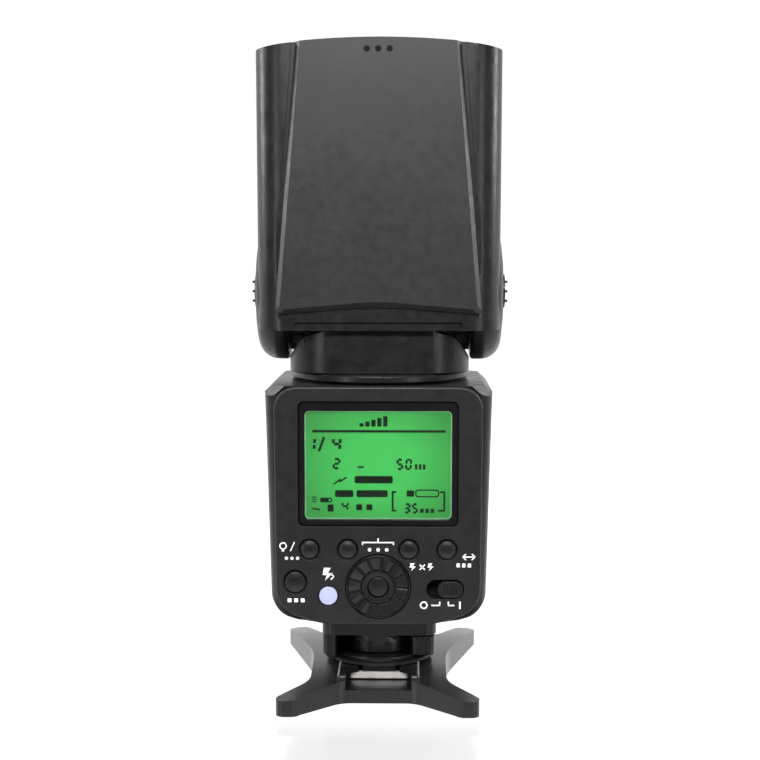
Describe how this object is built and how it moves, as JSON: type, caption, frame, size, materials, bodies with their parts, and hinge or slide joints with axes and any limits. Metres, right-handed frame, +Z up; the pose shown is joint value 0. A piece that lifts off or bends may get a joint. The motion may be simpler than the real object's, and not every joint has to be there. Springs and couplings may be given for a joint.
{
  "type": "speedlight flash",
  "caption": "Hot-shoe speedlight flash with a swivelling neck, tilting zoom head and rear display panel, standing on a mini stand with a cold shoe.",
  "frame": {"origin": "on the ground at the middle of the mini stand, under the neck's swivel axis", "axes": "+Z up along the swivel axis, -Y to the control panel side (the back of the flash), +X to the right seen from behind"},
  "size_m": [0.0808, 0.086, 0.2021],
  "materials": {
    "black_shell": "fine satin texture",
    "black_cover": "satin",
    "black_panel": "fine satin",
    "black_key": "satin",
    "black_bezel": "gloss",
    "clear_plastic": "clear",
    "lcd_green": "backlit display",
    "lens_clear": "ribbed clear",
    "lens_red": "deep red clear",
    "lamp_cap": "translucent",
    "white_card": "satin",
    "grey_inner": "satin",
    "green_board": "board lacquer",
    "cell_sleeve": "printed-free sleeve",
    "steel": "brushed",
    "dark_steel": "black screws",
    "bright_foot": "bright plated",
    "brass": "turned",
    "reflector_mirror": "bright",
    "tube_glass": "clear",
    "capacitor_sleeve": "sleeve",
    "rubber": "matt",
    "stand_plastic": "satin"
  },
  "bodies": {
    "stand": {"stand_base": "stand_plastic", "stand_thread_insert": "brass", "stand_pads": "rubber"},
    "case": {"shoe_plate": "bright_foot", "shoe_contacts": "brass", "foot_housing": "black_shell", "foot_screws": "dark_steel", "body_rear_shell": "black_shell", "body_front_shell": "black_shell", "control_fascia": "black_panel", "lcd_bezel": "black_bezel", "lcd_window": "clear_plastic", "lcd_module": "lcd_green", "key_board": "green_board", "battery_tray": "grey_inner", "battery_cells": "cell_sleeve", "battery_contacts": "steel", "main_capacitor": "capacitor_sleeve", "main_board": "green_board", "sync_jack": "brass", "power_socket": "grey_inner", "assist_window": "lens_red", "body_screws": "dark_steel"},
    "lever": {"lock_lever": "black_key"},
    "pin": {"lock_pin": "steel"},
    "key_light": {"key_light": "black_key"},
    "key_minus": {"key_minus": "black_key"},
    "key_plus": {"key_plus": "black_key"},
    "key_zoom": {"key_zoom": "black_key"},
    "mode": {"mode_button": "black_key"},
    "pilot": {"pilot_button": "lamp_cap"},
    "dial": {"select_dial": "black_key"},
    "set": {"set_button": "black_key"},
    "power": {"power_switch": "black_key"},
    "door": {"battery_door": "black_shell"},
    "latch": {"door_latch": "black_key"},
    "port_lid": {"port_cover": "rubber"},
    "neck": {"swivel_ring": "black_shell", "swivel_retainer": "grey_inner", "neck_rear_shell": "black_shell", "neck_front_shell": "black_shell", "tilt_axles": "steel"},
    "head": {"head_rear_shell": "black_shell", "head_front_shell": "black_shell", "head_cover": "black_cover", "pivot_caps": "black_shell", "head_screws": "dark_steel", "lens_frame": "black_shell", "fresnel_lens": "lens_clear", "guide_rods": "steel", "zoom_motor": "steel", "head_board": "green_board"},
    "tilt_right": {"tilt_button_right": "black_key"},
    "tilt_left": {"tilt_button_left": "black_key"},
    "card": {"bounce_card": "white_card"},
    "diffuser": {"wide_panel": "clear_plastic"},
    "carriage": {"zoom_carriage": "grey_inner", "reflector": "reflector_mirror", "flash_tube": "tube_glass"},
    "screw": {"zoom_screw": "steel"}
  },
  "joints": [
    {"name": "stand_slide", "type": "slide", "parent": "stand", "child": "case", "axis": [0, -1, 0], "range_m": [0, 0.032]},
    {"name": "lock_lever_turn", "type": "hinge", "parent": "case", "child": "lever", "pos_m": [0, 0, 0.0144], "axis": [0, 0, 1], "range_deg": [-60, 0]},
    {"name": "lock_pin_drop", "type": "slide", "parent": "case", "child": "pin", "axis": [0, 0, -1], "range_m": [0, 0.0014]},
    {"name": "key_light_press", "type": "slide", "parent": "case", "child": "key_light", "axis": [0, 1, 0], "range_m": [0, 0.0008], "stiffness_N_per_m": 800},
    {"name": "key_minus_press", "type": "slide", "parent": "case", "child": "key_minus", "axis": [0, 1, 0], "range_m": [0, 0.0008], "stiffness_N_per_m": 800},
    {"name": "key_plus_press", "type": "slide", "parent": "case", "child": "key_plus", "axis": [0, 1, 0], "range_m": [0, 0.0008], "stiffness_N_per_m": 800},
    {"name": "key_zoom_press", "type": "slide", "parent": "case", "child": "key_zoom", "axis": [0, 1, 0], "range_m": [0, 0.0008], "stiffness_N_per_m": 800},
    {"name": "mode_press", "type": "slide", "parent": "case", "child": "mode", "axis": [0, 1, 0], "range_m": [0, 0.0008], "stiffness_N_per_m": 800},
    {"name": "pilot_press", "type": "slide", "parent": "case", "child": "pilot", "axis": [0, 1, 0], "range_m": [0, 0.0008], "stiffness_N_per_m": 800},
    {"name": "select_dial_turn", "type": "hinge", "parent": "case", "child": "dial", "pos_m": [0, -0.0295, 0.0371], "axis": [0, 1, 0], "continuous": true},
    {"name": "set_press", "type": "slide", "parent": "dial", "child": "set", "axis": [0, 1, 0], "range_m": [0, 0.0008], "stiffness_N_per_m": 800},
    {"name": "power_slide", "type": "slide", "parent": "case", "child": "power", "axis": [1, 0, 0], "range_m": [-0.0031, 0]},
    {"name": "battery_door_swing", "type": "hinge", "parent": "case", "child": "door", "pos_m": [0.0317, 0.0234, 0.04775], "axis": [0, 0, 1], "range_deg": [0, 110]},
    {"name": "door_latch_slide", "type": "slide", "parent": "door", "child": "latch", "axis": [0, 1, 0], "range_m": [0, 0.0022]},
    {"name": "port_cover_swing", "type": "hinge", "parent": "case", "child": "port_lid", "pos_m": [-0.034, 0.015, 0.0785], "axis": [0, 0, -1], "range_deg": [0, 92]},
    {"name": "neck_swivel", "type": "hinge", "parent": "case", "child": "neck", "pos_m": [0, 0, 0.0989], "axis": [0, 0, 1], "range_deg": [-180, 180]},
    {"name": "head_tilt", "type": "hinge", "parent": "neck", "child": "head", "pos_m": [0, 0, 0.126], "axis": [-1, 0, 0], "range_deg": [0, 97]},
    {"name": "tilt_button_right_press", "type": "slide", "parent": "head", "child": "tilt_right", "axis": [-1, 0, 0], "range_m": [0, 0.001], "stiffness_N_per_m": 1000},
    {"name": "tilt_button_left_press", "type": "slide", "parent": "head", "child": "tilt_left", "axis": [1, 0, 0], "range_m": [0, 0.001], "stiffness_N_per_m": 1000},
    {"name": "bounce_card_pull", "type": "slide", "parent": "head", "child": "card", "axis": [0, 0, 1], "range_m": [0, 0.05]},
    {"name": "wide_panel_pull", "type": "slide", "parent": "head", "child": "diffuser", "axis": [0, 0, 1], "range_m": [0, 0.04]},
    {"name": "zoom_travel", "type": "slide", "parent": "head", "child": "carriage", "axis": [0, 0, 1], "range_m": [0, 0.02]},
    {"name": "zoom_screw_turn", "type": "hinge", "parent": "head", "child": "screw", "pos_m": [-0.024, 0.0142, 0.16], "axis": [0, 0, 1], "range_deg": [0, 720]}
  ],
  "couplings": [
    {"joint": "lock_pin_drop", "follows": "lock_lever_turn", "m_per_rad": -0.0013369},
    {"joint": "zoom_screw_turn", "follows": "zoom_travel", "rad_per_m": 628.32}
  ]
}
